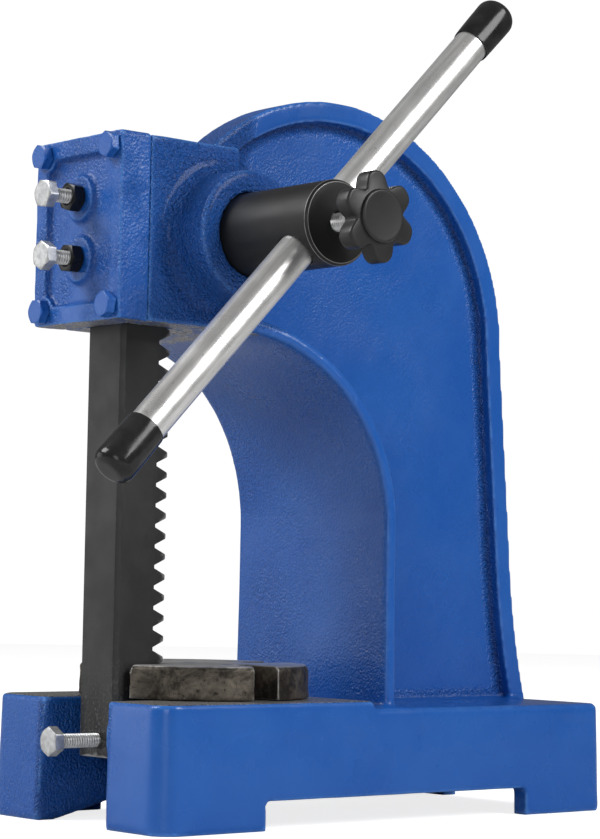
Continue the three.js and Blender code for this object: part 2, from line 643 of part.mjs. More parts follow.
function makePin() {
  return turned('z', [
    [PIN.radius - PIN.chamfer, PIN.low], [PIN.radius, PIN.low + PIN.chamfer],
    [PIN.radius, PIN.high - PIN.chamfer], [PIN.radius - PIN.chamfer, PIN.high],
  ], [0, ANVIL.y, 0], SMALL_ROUND);
}

// ---------- assembly ----------

function finish(color, roughness, metalness) {
  return new THREE.MeshStandardMaterial({ color, roughness, metalness });
}

const blueEnamel = finish(0x2f5ca5, 0.38, 0.0);
const blackOxide = finish(0x3a3a3c, 0.42, 0.9);
const brightSteel = finish(0xc9c9c6, 0.22, 1.0);
const zinc = finish(0xbfc3c6, 0.35, 1.0);
const castIron = finish(0x4c4a46, 0.6, 0.8);
const blackVinyl = finish(0x151516, 0.28, 0.0);
const blackPlastic = finish(0x1b1b1d, 0.4, 0.0);

const group = new THREE.Group();
group.name = 'arbor_press';

function add(name, solid, material) {
  const mesh = new THREE.Mesh(toGeometry(solid), material);
  mesh.name = name;
  group.add(mesh);
}

add('press_frame', makeFrame(), blueEnamel);
add('ram_cover', makeCover(), blueEnamel);
// each place is a name, a side, a height and how far the tightened hexagon has turned, in degrees
const boltPlaces = [
  ['upper_left', -1, COVER_BOLT.high, 12],
  ['upper_right', 1, COVER_BOLT.high, 25],
  ['lower_left', -1, COVER_BOLT.low, 3],
  ['lower_right', 1, COVER_BOLT.low, 40],
];
for (const [place, sign, z, turn] of boltPlaces) {
  add(`cover_bolt_${place}`, makeCoverBolt(sign * COVER_BOLT.x, z, turn), blueEnamel);
}
add('gib_strip', box(-GIB.half, GIB.half, GIB.front, GIB.back, GIB.low, GIB.high), blackOxide);
const gibPlaces = [['upper', GIB_SCREW.zs[0], 8, 18], ['lower', GIB_SCREW.zs[1], 28, 6]];
for (const [place, z, screwTurn, nutTurn] of gibPlaces) {
  add(`gib_screw_${place}`, hexScrew(GIB_SCREW, 0, z, screwTurn), zinc);
  add(`gib_lock_nut_${place}`, makeGibNut(z, nutTurn), blackOxide);
}
add('ram', makeRam(), blackOxide);
add('tool_clamp_screw', hexScrew(CLAMP_SCREW, 0, CLAMP_SCREW.z, 30), zinc);
add('pinion_shaft', makePinionShaft(), blackOxide);
add('handle_bar', makeBar(), brightSteel);
add('handle_cap_upper', makeCap(1), blackVinyl);
add('handle_cap_lower', makeCap(-1), blackVinyl);
add('knob_stud', makeStud(), zinc);
add('clamp_knob', makeKnob(), blackPlastic);
add('anvil_plate', makeAnvil(), castIron);
add('anvil_pin', makePin(), blackOxide);

// the whole press stands on Z = 0 with the middle of its bounding box over the origin
const bounds = new THREE.Box3().setFromObject(group);
const middle = bounds.getCenter(new THREE.Vector3());
group.position.set(-middle.x, -middle.y, -bounds.min.z);

export default group;
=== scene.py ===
"""Looks for the bench arbor press: enamelled castings, blackened and bright steel, vinyl and plastic."""
import json
import math

import bmesh
import bpy
import numpy as np
from mathutils import Matrix, Vector


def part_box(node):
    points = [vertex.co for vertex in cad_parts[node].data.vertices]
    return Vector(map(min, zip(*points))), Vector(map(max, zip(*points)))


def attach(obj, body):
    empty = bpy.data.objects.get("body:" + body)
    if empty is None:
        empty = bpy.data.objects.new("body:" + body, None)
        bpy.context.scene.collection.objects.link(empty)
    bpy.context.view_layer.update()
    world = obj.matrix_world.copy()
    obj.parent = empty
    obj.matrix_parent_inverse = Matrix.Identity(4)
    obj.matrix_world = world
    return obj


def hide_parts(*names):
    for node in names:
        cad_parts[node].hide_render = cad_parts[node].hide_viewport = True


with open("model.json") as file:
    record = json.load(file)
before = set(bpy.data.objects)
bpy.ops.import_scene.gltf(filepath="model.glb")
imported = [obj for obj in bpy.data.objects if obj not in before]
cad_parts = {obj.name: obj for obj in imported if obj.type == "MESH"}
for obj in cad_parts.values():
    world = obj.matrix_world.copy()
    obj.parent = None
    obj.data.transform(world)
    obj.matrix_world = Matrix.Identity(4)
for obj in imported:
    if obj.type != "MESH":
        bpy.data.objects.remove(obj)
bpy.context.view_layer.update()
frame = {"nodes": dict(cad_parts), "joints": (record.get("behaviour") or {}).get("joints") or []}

MM = 0.001
HALF_TURN = math.pi


# ---------- places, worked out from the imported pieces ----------

def corners(node):
    """The low corner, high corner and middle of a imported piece's box."""
    low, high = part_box(node)
    return low, high, (low + high) / 2


SHAFT_LOW, SHAFT_HIGH, SHAFT_MID = corners("pinion_shaft")
RAM_LOW, _, RAM_MID = corners("ram")
BAR_LOW, BAR_HIGH, BAR_MID = corners("handle_bar")
PLATE_LOW, PLATE_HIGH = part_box("anvil_plate")
COVER_LOW, COVER_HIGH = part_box("ram_cover")
CAST_LOW, CAST_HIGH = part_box("press_frame")

LEVER_JOINT = next(j for j in frame["joints"] if j["name"] == "handle_slide")
LEVER_AXIS = Vector(LEVER_JOINT["axis"]).normalized()
SHAFT_CENTRE = Vector((0, SHAFT_MID.y, SHAFT_MID.z))
BAR_CENTRE = Vector((BAR_MID.x, SHAFT_MID.y, SHAFT_MID.z))

SHAFT_RADIUS = (SHAFT_HIGH.z - SHAFT_LOW.z) / 2
BAR_RADIUS = (BAR_HIGH.x - BAR_LOW.x) / 2
PLATE_CLEARANCE = 0.3 * MM
PAD_TOP = PLATE_LOW.z - PLATE_CLEARANCE
HEAD_LOW = COVER_LOW.z


# ---------- node materials ----------

class Paint:
    """A material's node tree, with short calls for the nodes that these finishes share."""

    def __init__(self, name):
        self.material = bpy.data.materials.new(name)
        self.material.use_nodes = True
        self.tree = self.material.node_tree
        self.shader = next(n for n in self.tree.nodes if n.type == "BSDF_PRINCIPLED")
        self.place = self.add("ShaderNodeTexCoord").outputs["Object"]
        self.normal = None

    def add(self, kind, **settings):
        node = self.tree.nodes.new(kind)
        for key, value in settings.items():
            setattr(node, key, value)
        return node

    def link(self, source, target):
        self.tree.links.new(source, target)

    def feed(self, socket, value):
        if hasattr(value, "is_output"):
            self.link(value, socket)
        else:
            socket.default_value = value

    def stretched(self, scale):
        node = self.add("ShaderNodeMapping")
        self.link(self.place, node.inputs["Vector"])
        node.inputs["Scale"].default_value = scale
        return node.outputs["Vector"]

    def noise(self, scale, detail=3.0, roughness=0.55, distortion=0.0, place=None):
        node = self.add("ShaderNodeTexNoise")
        self.link(place or self.place, node.inputs["Vector"])
        node.inputs["Scale"].default_value = scale
        node.inputs["Detail"].default_value = detail
        node.inputs["Roughness"].default_value = roughness
        node.inputs["Distortion"].default_value = distortion
        return node.outputs["Fac"]

    def cells(self, scale, smoothness):
        node = self.add("ShaderNodeTexVoronoi", feature="SMOOTH_F1")
        self.link(self.place, node.inputs["Vector"])
        node.inputs["Scale"].default_value = scale
        node.inputs["Smoothness"].default_value = smoothness
        return node.outputs["Distance"]

    def attribute(self, name):
        node = self.add("ShaderNodeAttribute", attribute_name=name)
        return node.outputs["Fac"]

    def math(self, operation, first, second=0.0, clamp=False):
        node = self.add("ShaderNodeMath", operation=operation, use_clamp=clamp)
        self.feed(node.inputs[0], first)
        self.feed(node.inputs[1], second)
        return node.outputs["Value"]

    def spread(self, value, low, high, to_low=0.0, to_high=1.0):
        node = self.add("ShaderNodeMapRange", interpolation_type="SMOOTHSTEP")
        self.feed(node.inputs["Value"], value)
        node.inputs["From Min"].default_value = low
        node.inputs["From Max"].default_value = high
        self.feed(node.inputs["To Min"], to_low)
        self.feed(node.inputs["To Max"], to_high)
        return node.outputs["Result"]

    def mix(self, share, first, second):
        node = self.add("ShaderNodeMix", data_type="RGBA")
        self.feed(node.inputs["Factor"], share)
        self.feed(node.inputs["A"], first)
        self.feed(node.inputs["B"], second)
        return node.outputs["Result"]

    def bump(self, height, distance, strength=1.0):
        node = self.add("ShaderNodeBump")
        node.inputs["Distance"].default_value = distance
        self.feed(node.inputs["Strength"], strength)
        self.link(height, node.inputs["Height"])
        if self.normal:
            self.link(self.normal, node.inputs["Normal"])
        self.normal = node.outputs["Normal"]

    def finish(self, colour, roughness, metallic=0.0, coat=0.0, coat_roughness=0.1, specular=0.5):
        inputs = self.shader.inputs
        self.feed(inputs["Base Color"], colour)
        self.feed(inputs["Roughness"], roughness)
        self.feed(inputs["Metallic"], metallic)
        inputs["Coat Weight"].default_value = coat
        inputs["Coat Roughness"].default_value = coat_roughness
        inputs["Specular IOR Level"].default_value = specular
        if self.normal:
            self.link(self.normal, inputs["Normal"])
        return self.material


def grey(value, warmth=0.0):
    return (value * (1 + warmth), value, value * (1 - warmth), 1.0)


ENAMEL = (0.008, 0.090, 0.385, 1.0)
# The next colour is painted shade, put in the grain's hollows and in inside corners.
ENAMEL_SHADE = (0.002, 0.034, 0.190, 1.0)
ENAMEL_THIN = (0.024, 0.140, 0.480, 1.0)
# The next colour is for outside edges: paint worn thin, brightened as a painted highlight.
ENAMEL_WORN_EDGE_HIGHLIGHT = (0.055, 0.200, 0.580, 1.0)


def enamel():
    """Glossy blue over sand-cast iron. grain, edge and bare are values set on each casting's points."""
    p = Paint("blue_enamel")
    grain = p.attribute("grain")
    edge = p.attribute("edge")
    bare = p.attribute("bare")
    sand = p.math("ADD", p.noise(760, 3.0, 0.6, 0.5), p.math("MULTIPLY", p.cells(860, 0.35), -0.6))
    pits = p.spread(p.noise(430, 2.0, 0.5), 0.60, 0.74)
    flow = p.noise(55, 2.0, 0.5)
    p.bump(flow, 1.3 * MM, 0.25)
    p.bump(sand, 2.2 * MM, p.spread(grain, 0.0, 1.0, 0.02, 1.0))
    p.bump(pits, -0.5 * MM, p.spread(grain, 0.25, 1.0, 0.0, 0.7))
    patches = p.spread(p.noise(22, 3.0, 0.6), 0.35, 0.68)
    colour = p.mix(p.math("MULTIPLY", patches, 0.30), ENAMEL, ENAMEL_THIN)
    # Painted shade: the hollows of the sand grain are darkened, more where the grain is strong.
    grain_hollow_shade = p.math("MULTIPLY", p.spread(sand, 0.42, 0.12), grain, clamp=True)
    colour = p.mix(p.math("MULTIPLY", grain_hollow_shade, 0.50), colour, ENAMEL_SHADE)
    # Painted shade: inside corners, where edge is below zero, are darkened.
    crevice_shade = p.spread(edge, -0.05, -0.75, 0.0, 0.65)
    colour = p.mix(crevice_shade, colour, ENAMEL_SHADE)
    # Outside edges are lightened: partly paint worn thin, partly a painted highlight along the edge.
    ragged_edge = p.math("ADD", edge, p.math("MULTIPLY", p.noise(180, 3.0), 0.35))
    rubbed_and_highlight = p.spread(ragged_edge, 0.50, 1.05, 0.0, 0.80)
    colour = p.mix(rubbed_and_highlight, colour, ENAMEL_WORN_EDGE_HIGHLIGHT)
    wander = p.math("MULTIPLY", p.math("SUBTRACT", p.noise(210, 4.0), 0.5), 0.7)
    stripped = p.spread(p.math("ADD", bare, wander), 0.42, 0.58)
    iron = p.mix(p.spread(p.noise(900, 3.0), 0.35, 0.7), grey(0.09, 0.04), grey(0.52, 0.02))
    colour = p.mix(stripped, colour, iron)
    rough = p.spread(p.noise(38, 3.0), 0.3, 0.7, 0.24, 0.34)
    rough = p.math("ADD", rough, p.math("MULTIPLY", stripped, 0.16))
    metallic = p.math("MULTIPLY", stripped, 0.75)
    return p.finish(colour, rough, metallic, coat=0.15, coat_roughness=0.14, specular=0.36)


def black_oxide(name, shade, coarse=0.0, gloss=0.36):
    """Blackened steel with a drawn grain along Z, worn a little paler on its edges.

    coarse is the depth in millimetres of the mill scale where the attribute scale is one.
    """
    p = Paint(name)
    edge = p.attribute("edge")
    drawn = p.noise(9, 4.0, 0.7, place=p.stretched((110, 110, 5)))
    stain = p.spread(p.noise(28, 4.0, 0.6), 0.3, 0.72)
    p.bump(drawn, 0.05 * MM, 0.5)
    if coarse:
        scale_marks = p.noise(700, 4.0, 0.6)
        low_end = p.attribute("scale")
        p.bump(scale_marks, coarse * MM, low_end)
        speckle = p.math("MULTIPLY", p.spread(scale_marks, 0.52, 0.68), low_end)
    colour = p.mix(stain, grey(shade), grey(shade * 1.45))
    if coarse:
        colour = p.mix(p.math("MULTIPLY", speckle, 0.55), colour, grey(0.20, 0.02))
    ragged_edge = p.math("ADD", edge, p.math("MULTIPLY", p.noise(320, 3.0), 0.55))
    worn = p.spread(ragged_edge, 0.80, 1.20, 0.0, 0.75)
    colour = p.mix(worn, colour, grey(0.32, 0.02))
    rough = p.spread(p.noise(70, 3.0), 0.3, 0.7, gloss, gloss + 0.14)
    return p.finish(colour, rough, 0.35, specular=0.40)


def bright_steel():
    """Plated bar with fine lengthwise polishing marks and faint handling marks."""
    p = Paint("bright_steel")
    lever = p.add("ShaderNodeMapping", vector_type="TEXTURE")
    p.link(p.place, lever.inputs["Vector"])
    lever.inputs["Rotation"].default_value = (-math.acos(LEVER_AXIS.z), 0, 0)
    lever.inputs["Scale"].default_value = (1.0, 1.0, 18.0)
    drawn = p.spread(p.noise(420, 4.0, 0.65, place=lever.outputs["Vector"]), 0.35, 0.66)
    fine = p.noise(260, 5.0, 0.7)
    smear = p.spread(p.noise(30, 4.0, 0.65, 0.6), 0.35, 0.75)
    p.bump(fine, 0.012 * MM, 0.6)
    colour = p.mix(smear, grey(0.90, 0.01), grey(0.78, 0.015))
    colour = p.mix(p.math("MULTIPLY", drawn, 0.55), colour, grey(0.52, 0.015))
    spots = p.spread(p.noise(340, 2.0), 0.68, 0.76, 0.0, 0.5)
    colour = p.mix(spots, colour, grey(0.30, 0.03))
    rough = p.spread(p.noise(60, 4.0), 0.3, 0.7, 0.26, 0.36)
    return p.finish(colour, rough, 0.80)


def zinc():
    """Dull zinc plating with a faint spangle, with painted shade in inside corners such as thread roots."""
    p = Paint("zinc_plate")
    edge = p.attribute("edge")
    spangle = p.spread(p.noise(480, 3.0), 0.32, 0.7)
    p.bump(p.noise(900, 3.0), 0.03 * MM, 0.5)
    colour = p.mix(spangle, grey(0.42, -0.01), grey(0.60, -0.01))
    # Painted shade: inside corners such as thread roots are darkened.
    colour = p.mix(p.spread(edge, -0.1, -0.8, 0.0, 0.7), colour, grey(0.14))
    rough = p.spread(p.noise(220, 3.0), 0.3, 0.7, 0.34, 0.46)
    return p.finish(colour, rough, 0.85)


def bare_iron():
    """Mottled brown-grey casting skin. The attribute machined is one on the turned faces."""
    p = Paint("bare_iron")
    machined = p.attribute("machined")
    edge = p.attribute("edge")
    skin = p.noise(520, 5.0, 0.65)
    blotch = p.spread(p.noise(62, 5.0, 0.7, 0.8), 0.36, 0.66)
    p.bump(skin, 0.34 * MM, p.spread(machined, 0.0, 1.0, 0.8, 0.08))
    p.bump(p.noise(95, 3.0), 0.5 * MM, p.spread(machined, 0.0, 1.0, 0.5, 0.05))
    dark = p.mix(blotch, (0.024, 0.020, 0.016, 1), (0.140, 0.122, 0.098, 1))
    specks = p.spread(skin, 0.56, 0.68, 0.0, 0.8)
    dark = p.mix(specks, dark, (0.010, 0.008, 0.007, 1))
    cut = p.mix(p.spread(p.noise(160, 4.0), 0.3, 0.7), grey(0.42, 0.02), grey(0.60, 0.02))
    colour = p.mix(machined, dark, cut)
    colour = p.mix(p.spread(edge, 0.45, 1.0, 0.0, 0.55), colour, grey(0.42, 0.03))
    rough = p.spread(machined, 0.0, 1.0, 0.50, 0.30)
    return p.finish(colour, rough, 0.75)


def vinyl():
    """Glossy dipped vinyl, slightly lumpy."""
    p = Paint("black_vinyl")
    p.bump(p.noise(70, 3.0), 0.3 * MM, 0.25)
    p.bump(p.noise(700, 2.0), 0.02 * MM, 0.4)
    colour = p.mix(p.spread(p.noise(90, 3.0), 0.3, 0.7), grey(0.010), grey(0.022))
    rough = p.spread(p.noise(120, 3.0), 0.3, 0.7, 0.13, 0.22)
    return p.finish(colour, rough, specular=0.30)


def plastic():
    """Spark-textured moulding, worn smoother where fingers hold it."""
    p = Paint("black_plastic")
    edge = p.attribute("edge")
    p.bump(p.noise(1500, 3.0, 0.6), 0.05 * MM, 0.8)
    colour = p.mix(p.spread(p.noise(60, 3.0), 0.3, 0.7), grey(0.012), grey(0.017))
    colour = p.mix(p.spread(edge, 0.55, 1.1, 0.0, 0.35), colour, grey(0.060))
    rough = p.spread(edge, 0.1, 1.0, 0.40, 0.30)
    return p.finish(colour, rough, specular=0.38)


# ---------- meshes ----------

def new_piece(name, mesh, material, body, node):
    piece = bpy.data.objects.new(name, mesh)
    bpy.context.scene.collection.objects.link(piece)
    mesh.materials.clear()
    mesh.materials.append(material)
    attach(piece, body)
    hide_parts(node)
    return piece


def mesh_from(name, points, faces):
    mesh = bpy.data.meshes.new(name)
    mesh.from_pydata([tuple(p) for p in points], [], faces)
    mesh.validate()
    work = bmesh.new()
    work.from_mesh(mesh)
    bmesh.ops.remove_doubles(work, verts=work.verts, dist=0.5e-6)
    bmesh.ops.recalc_face_normals(work, faces=work.faces)
    work.to_mesh(mesh)
    work.free()
    return mesh


def shade(mesh, sharp_degrees=32):
    mesh.shade_smooth()
    mesh.set_sharp_from_angle(angle=math.radians(sharp_degrees))


def with_modifiers(mesh, *steps):
    """A new mesh: this one after modifiers, each given as (kind, settings)."""
    holder = bpy.data.objects.new("holder", mesh)
    bpy.context.scene.collection.objects.link(holder)
    for kind, settings in steps:
        modifier = holder.modifiers.new(kind, kind)
        for key, value in settings.items():
            setattr(modifier, key, value)
    bpy.context.view_layer.update()
    result = bpy.data.meshes.new_from_object(holder.evaluated_get(bpy.context.evaluated_depsgraph_get()))
    bpy.data.objects.remove(holder)
    return result


def points_of(mesh):
    flat = np.zeros(len(mesh.vertices) * 3, np.float32)
    mesh.vertices.foreach_get("co", flat)
    return flat.reshape(-1, 3).astype(float)


def normals_of(mesh):
    flat = np.zeros(len(mesh.vertices) * 3, np.float32)
    mesh.vertex_normals.foreach_get("vector", flat)
    return flat.reshape(-1, 3).astype(float)


def edges_of(mesh):
    flat = np.zeros(len(mesh.edges) * 2, np.int32)
    mesh.edges.foreach_get("vertices", flat)
    return flat.reshape(-1, 2)


def soft_step(values, low, high):
    """0 at low, 1 at high and smooth between; low may be the larger of the two."""
    t = np.clip((values - low) / (high - low), 0, 1)
    return t * t * (3 - 2 * t)


def set_points(mesh, points):
    mesh.vertices.foreach_set("co", points.astype(np.float32).ravel())
    mesh.update()


def set_value(mesh, name, values):
    attribute = mesh.attributes.get(name) or mesh.attributes.new(name, "FLOAT", "POINT")
    attribute.data.foreach_set("value", np.asarray(values, np.float32))


def mark_edges(mesh, reach, rounds=2):
    """Sets the attribute edge: near one on outside corners, below zero in inside ones."""
    bend, edges = bends_of(mesh)
    set_value(mesh, "edge", np.clip(spread_out(bend * reach, edges, rounds), -1.5, 1.5))


def bends_of(mesh):
    """Outward bend at each point, per metre: positive on outside corners."""
    points, normals, edges = points_of(mesh), normals_of(mesh), edges_of(mesh)
    step = points[edges[:, 1]] - points[edges[:, 0]]
    turn = normals[edges[:, 1]] - normals[edges[:, 0]]
    bend = (step * turn).sum(1) / np.maximum((step ** 2).sum(1), 1e-12)
    count = len(points)
    total = np.bincount(edges.ravel(), weights=np.repeat(bend, 2), minlength=count)
    return total / np.bincount(edges.ravel(), minlength=count).clip(1), edges


def spread_out(values, edges, rounds):
    count = len(values)
    degree = np.bincount(edges.ravel(), minlength=count).clip(1)
    for _ in range(rounds):
        total = np.bincount(edges[:, 0], weights=values[edges[:, 1]], minlength=count)
        total += np.bincount(edges[:, 1], weights=values[edges[:, 0]], minlength=count)
        values = 0.5 * values + 0.5 * total / degree
    return values


def near_hollow(mesh, reach, rounds):
    """Near one beside inside corners, fading over a few steps of the mesh."""
    bend, edges = bends_of(mesh)
    hollow = (spread_out(bend, edges, 2) * reach < -0.18).astype(float)
    return np.clip(spread_out(hollow, edges, rounds) * 2.2, 0, 1)


def waves(points, size, seed, octaves=2):
    """Smooth seeded unevenness, between about -1 and 1, from a few crossed sine waves."""
    draw = np.random.default_rng(seed)
    total = np.zeros(len(points))
    for octave in range(octaves):
        for _ in range(7):
            way = draw.normal(size=3)
            way *= 2 * HALF_TURN / (size / 2 ** octave) / np.linalg.norm(way)
            total += np.sin(points @ way + draw.uniform(0, 2 * HALF_TURN)) / 2 ** octave
    return total / 4.5


def remeshed(node, voxel, smoothing):
    """A fine even skin over a CAD solid, with its corners softened as a casting's are."""
    return with_modifiers(
        frame["nodes"][node].data.copy(),
        ("REMESH", {"mode": "VOXEL", "voxel_size": voxel, "use_smooth_shade": True}),
        ("SMOOTH", {"factor": 0.5, "iterations": smoothing}),
    )


# ---------- the painted castings ----------

VOXEL_FRAME = 1.25 * MM
VOXEL_COVER = 0.70 * MM

# Each pair is where a region's values begin to blend and where they have blended.
# Heights above the floor:
BASE_TO_WEB = (49 * MM, 55 * MM)
WEB_TO_HEAD = (211 * MM, 215 * MM)
# Distances behind the ram's axis:
HEAD_BACK = (66 * MM, 54 * MM)
SLOT_BACK = (30 * MM, 24 * MM)
PAD_BACK = (96 * MM, 92 * MM)
BARE_HEAD_BACK = (44 * MM, 38 * MM)
# Distances to either side of the ram's axis:
SLOT_HALF_WIDTH = (28 * MM, 25 * MM)
WEB_TO_RIM_FACE = (9.3 * MM, 9.8 * MM)
# How far the face that the cover is bolted to stands ahead of the ram's axis.
JOINT_FACE_AHEAD = 13.4 * MM


def cast_frame(material):
    """The one-piece casting. Its grain, bare iron and unevenness differ from region to region."""
    mesh = remeshed("press_frame", VOXEL_FRAME, 4)
    points, normals = points_of(mesh), normals_of(mesh)
    x = points[:, 0] - RAM_MID.x
    y = points[:, 1] - RAM_MID.y
    z = points[:, 2]
    above_base = soft_step(z, *BASE_TO_WEB)
    head = soft_step(z, *WEB_TO_HEAD) * soft_step(y, *HEAD_BACK)
    facing_out = soft_step(np.abs(normals[:, 0]), 0.4, 0.8)
    rim_face = above_base * (1 - head) * facing_out * soft_step(np.abs(x), *WEB_TO_RIM_FACE)
    between = above_base * (1 - head) * (1 - rim_face)
    patchy = 0.75 + 0.25 * waves(points, 60 * MM, 11)
    web = between * facing_out
    throat = between * (1 - facing_out)
    grain = (0.26 * web + 0.50 * throat + 0.95 * head) * patchy
    # Beside inside corners the grain is raised: a deeper bump, and deeper painted shade in the grain's
    # hollows.
    grain += 0.75 * near_hollow(mesh, 2.6 * MM, 14) * (web + head)
    grain = np.clip(grain, 0.0, 1.0)
    slot_wall = (1 - above_base) * soft_step(y, *SLOT_BACK) * soft_step(np.abs(x), *SLOT_HALF_WIDTH)
    front_face = (1 - above_base) * soft_step(-normals[:, 1], 0.6, 0.9)
    grain = np.clip(grain + 0.55 * slot_wall + 0.40 * front_face * (x < 0), 0, 1)
    uneven = waves(points, 26 * MM, 3, 3)
    machined = soft_step(z, PAD_TOP - 0.5 * MM, PAD_TOP - 0.2 * MM) * soft_step(y, *PAD_BACK)
    machined *= soft_step(normals[:, 2], 0.6, 0.9) * (z < PAD_TOP + 2 * MM)
    under_head = soft_step(-normals[:, 2], 0.75, 0.95) * (np.abs(z - HEAD_LOW) < 3 * MM)
    under_head *= soft_step(y, *BARE_HEAD_BACK)
    joint_face = (np.abs(y + JOINT_FACE_AHEAD) < 0.7 * MM) * (z > HEAD_LOW - MM)
    flat = np.clip(machined + joint_face, 0, 1)
    moved = points + normals * (uneven * 0.16 * MM * (1 - flat) * (0.35 + 0.65 * grain))[:, None]
    moved[:, 2] = np.maximum(moved[:, 2], 0)
    set_points(mesh, np.clip(moved, np.array(CAST_LOW), np.array(CAST_HIGH)))
    set_value(mesh, "grain", grain)
    set_value(mesh, "bare", np.clip(machined + 0.55 * under_head, 0, 1))
    mark_edges(mesh, 2.6 * MM)
    return new_piece("casting", mesh, material, "frame", "press_frame")


def cast_cover(material):
    """The cover's casting, left flat on the back where it meets the head."""
    mesh = remeshed("ram_cover", VOXEL_COVER, 3)
    points, normals = points_of(mesh), normals_of(mesh)
    uneven = waves(points, 18 * MM, 7, 3)
    back = (points[:, 1] > COVER_HIGH.y - 0.8 * MM).astype(float)
    moved = points + normals * (uneven * 0.12 * MM * (1 - back))[:, None]
    set_points(mesh, np.clip(moved, np.array(COVER_LOW), np.array(COVER_HIGH)))
    under = soft_step(-normals[:, 2], 0.75, 0.95)
    under *= soft_step(points[:, 2], HEAD_LOW + 3 * MM, HEAD_LOW + MM)
    set_value(mesh, "grain", np.clip(0.38 + 0.20 * waves(points, 22 * MM, 5) + 0.4 * under, 0, 1))
    set_value(mesh, "bare", 0.55 * under)
    mark_edges(mesh, 1.6 * MM)
    return new_piece("cover_casting", mesh, material, "frame", "ram_cover")


# ---------- turned, threaded and hexagonal pieces ----------

ROUND_SIDES = 96
THREAD_SIDES = 40


def basis(axis):
    """The unit vector along an axis and two directions across it."""
    along = Vector(axis).normalized()
    side = Vector((0, 0, 1)) if abs(along.z) < 0.9 else Vector((0, 1, 0))
    first = side.cross(along).normalized()
    return along, first, along.cross(first)


def swept(rings, axis, centre, closed=False):
    """Skin through rings round an axis. Each ring lists (radius, position) at equal angles."""
    along, first, second = basis(axis)
    count = len(rings[0])
    points = []
    for line in rings:
        for i, (radius, position) in enumerate(line):
            angle = 2 * HALF_TURN * i / count
            across = first * math.cos(angle) + second * math.sin(angle)
            points.append(centre + along * position + across * radius)
    faces = []
    spans = len(rings) if closed else len(rings) - 1
    for ring in range(spans):
        after = (ring + 1) % len(rings)
        for i in range(count):
            j = (i + 1) % count
            faces.append((ring * count + i, ring * count + j, after * count + j, after * count + i))
    if not closed:
        faces.append(tuple(range(count)))
        last = (len(rings) - 1) * count
        faces.append(tuple(last + i for i in reversed(range(count))))
    return points, faces


def fillet(profile, radius, steps=3):
    """Rounds the corners of a (radius, position) profile."""
    result = [profile[0]]
    for before, here, after in zip(profile, profile[1:], profile[2:]):
        corner = Vector(here)
        back, ahead = Vector(before) - corner, Vector(after) - corner
        reach = min(radius, back.length * 0.45, ahead.length * 0.45)
        start, end = corner + back.normalized() * reach, corner + ahead.normalized() * reach
        for step in range(steps + 1):
            t = step / steps
            result.append(tuple(start * (1 - t) ** 2 + corner * 2 * t * (1 - t) + end * t * t))
    result.append(profile[-1])
    return result


def lathe(name, profile, axis, centre, sides=ROUND_SIDES):
    """A profile of (radius, position) steps turned round an axis, closed by a flat face at each end."""
    points, faces = swept([[step] * sides for step in profile], axis, centre)
    return mesh_from(name, points, faces)


def thread_rings(radius, start, end, pitch, depth):
    """Rings of a helical thread that fades out over one pitch at each end."""
    rows_per_turn = 8
    rows = max(2, int(abs(end - start) / pitch * rows_per_turn))
    rings = []
    for row in range(rows + 1):
        position = start + (end - start) * row / rows
        fade = min(1.0, abs(position - start) / pitch, abs(position - end) / pitch)
        line = []
        for i in range(THREAD_SIDES):
            phase = (position / pitch - i / THREAD_SIDES) % 1.0
            crest = abs(2 * phase - 1)
            line.append((radius - depth * fade * (1 - crest), position))
        rings.append(line)
    return rings


def hex_radius(angle, flats, turn):
    """How far a hexagon reaches at an angle, its corners rounded off a little."""
    sector = (angle - turn + HALF_TURN / 6) % (HALF_TURN / 3) - HALF_TURN / 6
    corner_round = 0.985 * flats / math.sqrt(3)
    return min(flats / 2 / math.cos(sector), corner_round)


def hex_rings(flats, low, high, turn, bevel_low=False):
    """Rings of a hexagon whose high face, and low face if asked, is chamfered to a circle."""
    rounding = 0.12 * MM
    slope = math.tan(math.radians(28))
    circle = flats * 0.475
    lines = [[] for _ in range(6)]
    for i in range(ROUND_SIDES):
        outer = hex_radius(2 * HALF_TURN * i / ROUND_SIDES, flats, turn)
        drop = max(0.0, (outer - circle) * slope)
        low_drop = drop if bevel_low else rounding
        low_circle = circle if bevel_low else outer - rounding
        steps = [
            (low_circle * 0.97, low), (low_circle, low), (outer, low + low_drop),
            (outer, high - drop), (circle, high), (flats * 0.44, high + 0.02 * MM),
        ]
        for line, step in zip(lines, steps):
            line.append(step)
    return lines


def hex_turn(node):
    """The turn of a hexagon's flats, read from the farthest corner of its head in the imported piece."""
    middle = corners(node)[2]
    points = points_of(frame["nodes"][node].data)
    across = points[:, [0, 2]] - np.array([middle.x, middle.z])
    far = np.hypot(across[:, 0], across[:, 1])
    corner = across[int(np.argmax(far))]
    _, first, second = basis((0, -1, 0))
    angle = math.atan2(
        corner[0] * second.x + corner[1] * second.z, corner[0] * first.x + corner[1] * first.z)
    return angle - HALF_TURN / 6


def screw_piece(name, node, body, material, slot, flats, head, radius, pitch, painted=False):
    """Hexagon screw along -Y: head at the low-Y end, thread behind it."""
    low, high, middle = corners(node)
    centre = Vector((middle.x, 0, middle.z))
    face = -low.y
    back = face - head
    if painted:
        flats *= 0.995
        face -= 0.05 * MM
    points, faces = swept(hex_rings(flats, back, face, hex_turn(node)), (0, -1, 0), centre)
    tip = -high.y
    neck = radius * 0.96
    shank = [[(neck, back + 0.5 * MM)] * THREAD_SIDES, [(neck, back - 0.7 * MM)] * THREAD_SIDES]
    shank += thread_rings(radius, back - 0.8 * MM, tip + 0.8 * MM, pitch, pitch * 0.5)
    shank += [[(radius * 0.80, tip)] * THREAD_SIDES]
    more, more_faces = swept(shank, (0, -1, 0), centre)
    offset = len(points)
    faces += [tuple(i + offset for i in loop) for loop in more_faces]
    mesh = mesh_from(name, points + more, faces)
    shade(mesh, 40)
    mark_edges(mesh, 0.5 * MM, 1)
    if painted:
        set_value(mesh, "grain", np.full(len(mesh.vertices), 0.2))
        set_value(mesh, "bare", np.zeros(len(mesh.vertices)))
    return new_piece(name, mesh, material, body, node)


